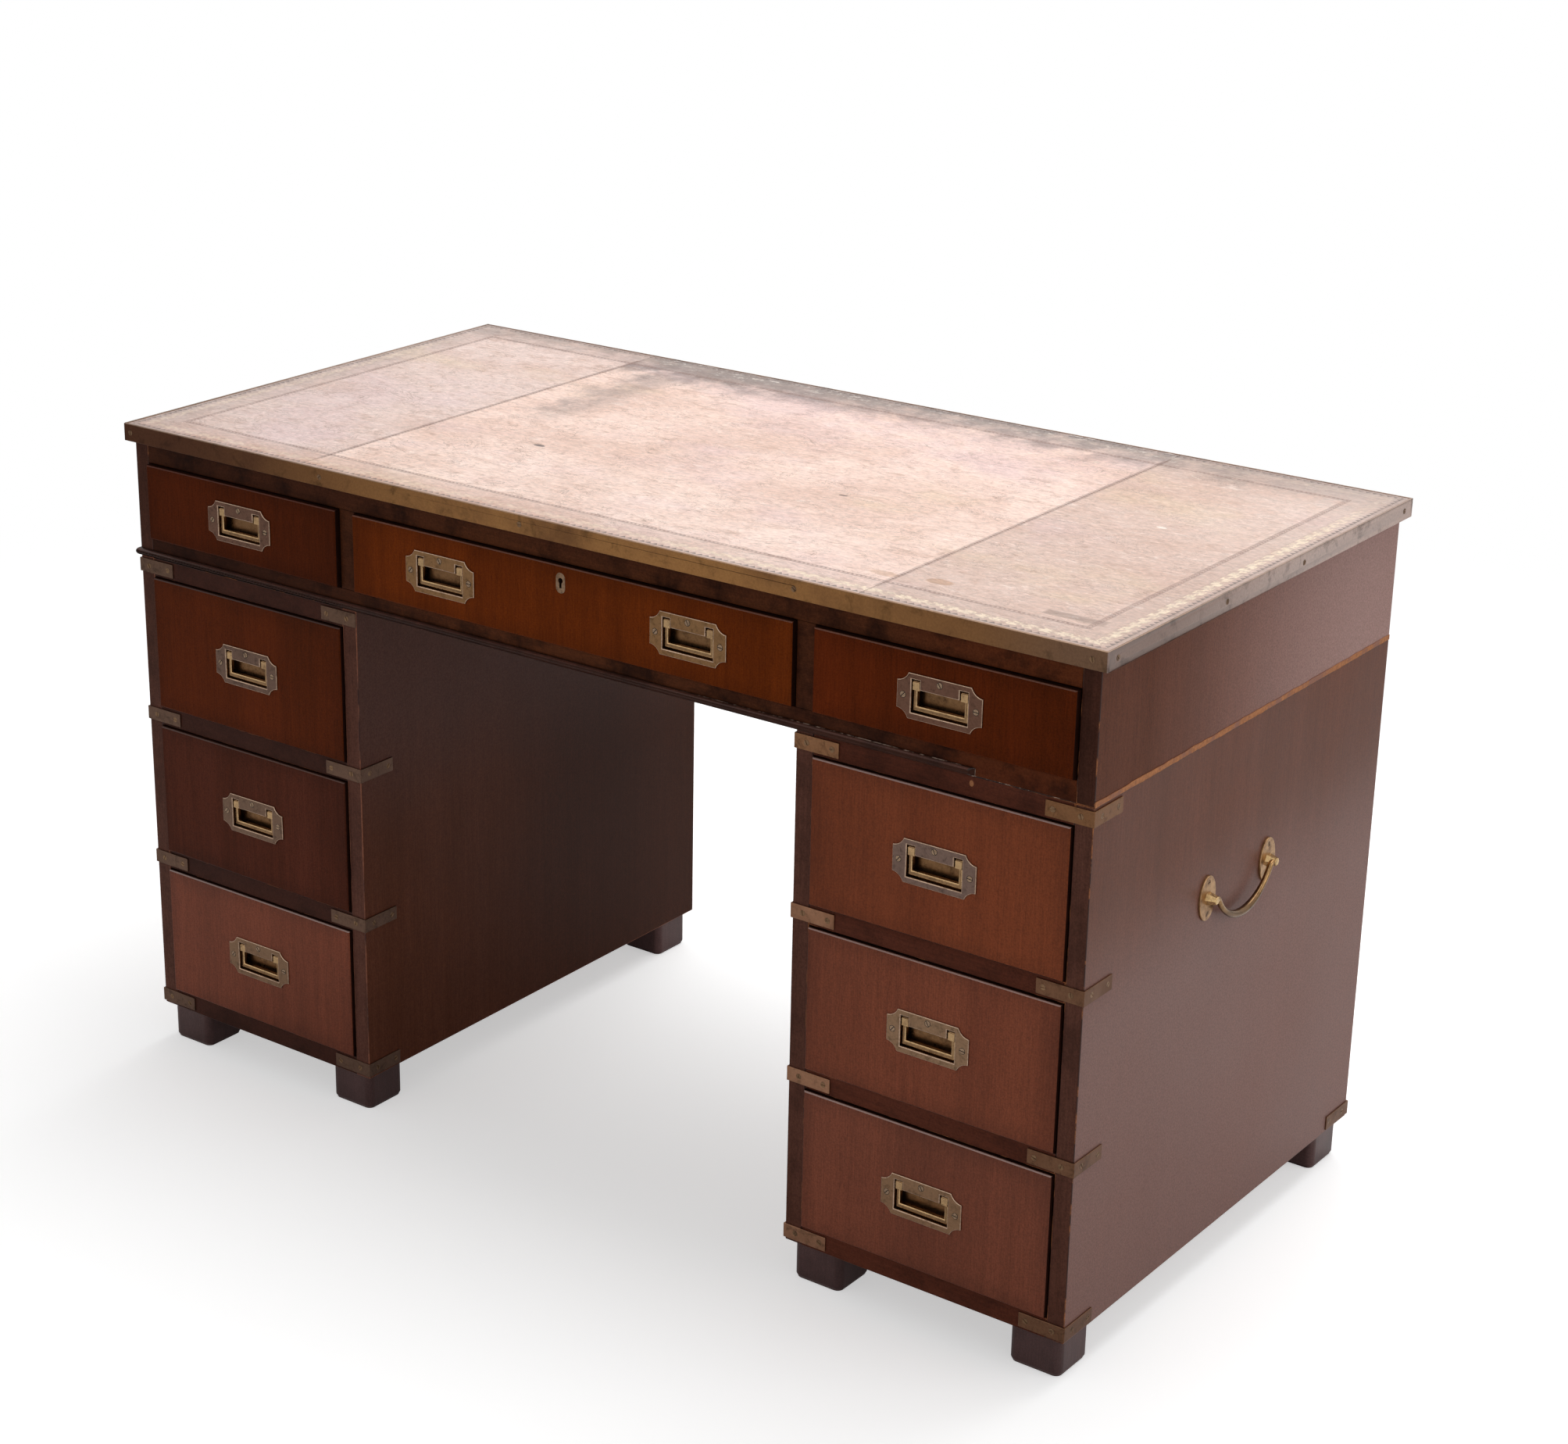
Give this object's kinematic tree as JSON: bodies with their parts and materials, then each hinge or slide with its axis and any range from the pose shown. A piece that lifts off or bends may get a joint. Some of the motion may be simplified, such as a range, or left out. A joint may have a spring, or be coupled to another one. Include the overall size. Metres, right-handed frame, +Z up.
{
  "type": "campaign desk",
  "caption": "Pedestal campaign desk in mahogany with a brass-bound leather top, recessed brass drawer pulls, corner straps and carrying handles; drawers slide, bails fold.",
  "frame": {"origin": "on the floor under the middle of the desk", "axes": "+X to the sitter's right along the desk, +Y from the front to the back, +Z up"},
  "size_m": [1.282, 0.63, 0.765],
  "materials": {
    "mahogany": "polished veneer, worn edges",
    "drawer_lining": "plain planed softwood",
    "aged_brass": "cast, aged, worn bright on the edges",
    "leather": "worn skin, tooled border"
  },
  "bodies": {
    "desk": {"writing_leather": "leather", "top_board": "mahogany", "edge_band": "aged_brass", "case_end_panels": "mahogany", "case_back_panel": "mahogany", "case_front_frame": "mahogany", "case_insides": "drawer_lining", "block_feet": "mahogany", "brass_screws": "aged_brass", "left_pedestal_sides": "mahogany", "left_pedestal_boards": "drawer_lining", "left_pedestal_rails": "mahogany", "left_corner_straps": "aged_brass", "left_carry_plates": "aged_brass", "right_pedestal_sides": "mahogany", "right_pedestal_boards": "drawer_lining", "right_pedestal_rails": "mahogany", "right_corner_straps": "aged_brass", "right_carry_plates": "aged_brass"},
    "top_centre_drawer": {"top_centre_front": "mahogany", "top_centre_box": "drawer_lining", "top_centre_pull_plate": "aged_brass", "drawer_lock": "aged_brass"},
    "top_centre_left_pull": {"top_centre_left_pull_bail": "aged_brass"},
    "top_centre_right_pull": {"top_centre_right_pull_bail": "aged_brass"},
    "top_left_drawer": {"top_left_front": "mahogany", "top_left_box": "drawer_lining", "top_left_pull_plate": "aged_brass"},
    "top_left_pull": {"top_left_pull_bail": "aged_brass"},
    "top_right_drawer": {"top_right_front": "mahogany", "top_right_box": "drawer_lining", "top_right_pull_plate": "aged_brass"},
    "top_right_pull": {"top_right_pull_bail": "aged_brass"},
    "left_lower_drawer": {"left_lower_front": "mahogany", "left_lower_box": "drawer_lining", "left_lower_pull_plate": "aged_brass"},
    "left_lower_pull": {"left_lower_pull_bail": "aged_brass"},
    "left_middle_drawer": {"left_middle_front": "mahogany", "left_middle_box": "drawer_lining", "left_middle_pull_plate": "aged_brass"},
    "left_middle_pull": {"left_middle_pull_bail": "aged_brass"},
    "left_upper_drawer": {"left_upper_front": "mahogany", "left_upper_box": "drawer_lining", "left_upper_pull_plate": "aged_brass"},
    "left_upper_pull": {"left_upper_pull_bail": "aged_brass"},
    "right_lower_drawer": {"right_lower_front": "mahogany", "right_lower_box": "drawer_lining", "right_lower_pull_plate": "aged_brass"},
    "right_lower_pull": {"right_lower_pull_bail": "aged_brass"},
    "right_middle_drawer": {"right_middle_front": "mahogany", "right_middle_box": "drawer_lining", "right_middle_pull_plate": "aged_brass"},
    "right_middle_pull": {"right_middle_pull_bail": "aged_brass"},
    "right_upper_drawer": {"right_upper_front": "mahogany", "right_upper_box": "drawer_lining", "right_upper_pull_plate": "aged_brass"},
    "right_upper_pull": {"right_upper_pull_bail": "aged_brass"},
    "lock_bolt_slide": {"lock_bolt": "aged_brass"},
    "left_carry_handle": {"left_carry_bail": "aged_brass"},
    "right_carry_handle": {"right_carry_bail": "aged_brass"}
  },
  "joints": [
    {"name": "top_centre_drawer_slide", "type": "slide", "parent": "desk", "child": "top_centre_drawer", "axis": [0, -1, 0], "range_m": [0, 0.36]},
    {"name": "top_centre_left_pull_hinge", "type": "hinge", "parent": "top_centre_drawer", "child": "top_centre_left_pull", "pos_m": [-0.1635, -0.3096, 0.6894], "axis": [-1, 0, 0], "range_deg": [0, 90]},
    {"name": "top_centre_right_pull_hinge", "type": "hinge", "parent": "top_centre_drawer", "child": "top_centre_right_pull", "pos_m": [0.1635, -0.3096, 0.6894], "axis": [-1, 0, 0], "range_deg": [0, 90]},
    {"name": "top_left_drawer_slide", "type": "slide", "parent": "desk", "child": "top_left_drawer", "axis": [0, -1, 0], "range_m": [0, 0.36]},
    {"name": "top_left_pull_hinge", "type": "hinge", "parent": "top_left_drawer", "child": "top_left_pull", "pos_m": [-0.45925, -0.3096, 0.6894], "axis": [-1, 0, 0], "range_deg": [0, 90]},
    {"name": "top_right_drawer_slide", "type": "slide", "parent": "desk", "child": "top_right_drawer", "axis": [0, -1, 0], "range_m": [0, 0.36]},
    {"name": "top_right_pull_hinge", "type": "hinge", "parent": "top_right_drawer", "child": "top_right_pull", "pos_m": [0.45925, -0.3096, 0.6894], "axis": [-1, 0, 0], "range_deg": [0, 90]},
    {"name": "left_lower_drawer_slide", "type": "slide", "parent": "desk", "child": "left_lower_drawer", "axis": [0, -1, 0], "range_m": [0, 0.38]},
    {"name": "left_lower_pull_hinge", "type": "hinge", "parent": "left_lower_drawer", "child": "left_lower_pull", "pos_m": [-0.45925, -0.3076, 0.1586], "axis": [-1, 0, 0], "range_deg": [0, 90]},
    {"name": "left_middle_drawer_slide", "type": "slide", "parent": "desk", "child": "left_middle_drawer", "axis": [0, -1, 0], "range_m": [0, 0.38]},
    {"name": "left_middle_pull_hinge", "type": "hinge", "parent": "left_middle_drawer", "child": "left_middle_pull", "pos_m": [-0.45925, -0.3076, 0.3396], "axis": [-1, 0, 0], "range_deg": [0, 90]},
    {"name": "left_upper_drawer_slide", "type": "slide", "parent": "desk", "child": "left_upper_drawer", "axis": [0, -1, 0], "range_m": [0, 0.38]},
    {"name": "left_upper_pull_hinge", "type": "hinge", "parent": "left_upper_drawer", "child": "left_upper_pull", "pos_m": [-0.45925, -0.3076, 0.5206], "axis": [-1, 0, 0], "range_deg": [0, 90]},
    {"name": "right_lower_drawer_slide", "type": "slide", "parent": "desk", "child": "right_lower_drawer", "axis": [0, -1, 0], "range_m": [0, 0.38]},
    {"name": "right_lower_pull_hinge", "type": "hinge", "parent": "right_lower_drawer", "child": "right_lower_pull", "pos_m": [0.45925, -0.3076, 0.1586], "axis": [-1, 0, 0], "range_deg": [0, 90]},
    {"name": "right_middle_drawer_slide", "type": "slide", "parent": "desk", "child": "right_middle_drawer", "axis": [0, -1, 0], "range_m": [0, 0.38]},
    {"name": "right_middle_pull_hinge", "type": "hinge", "parent": "right_middle_drawer", "child": "right_middle_pull", "pos_m": [0.45925, -0.3076, 0.3396], "axis": [-1, 0, 0], "range_deg": [0, 90]},
    {"name": "right_upper_drawer_slide", "type": "slide", "parent": "desk", "child": "right_upper_drawer", "axis": [0, -1, 0], "range_m": [0, 0.38]},
    {"name": "right_upper_pull_hinge", "type": "hinge", "parent": "right_upper_drawer", "child": "right_upper_pull", "pos_m": [0.45925, -0.3076, 0.5206], "axis": [-1, 0, 0], "range_deg": [0, 90]},
    {"name": "lock_bolt_throw", "type": "slide", "parent": "top_centre_drawer", "child": "lock_bolt_slide", "axis": [0, 0, 1], "range_m": [0, 0.006]},
    {"name": "left_carry_hinge", "type": "hinge", "parent": "desk", "child": "left_carry_handle", "pos_m": [-0.6355, -0.009, 0.441], "axis": [0, 1, 0], "range_deg": [0, 100]},
    {"name": "right_carry_hinge", "type": "hinge", "parent": "desk", "child": "right_carry_handle", "pos_m": [0.6355, -0.009, 0.441], "axis": [0, -1, 0], "range_deg": [0, 100]}
  ]
}
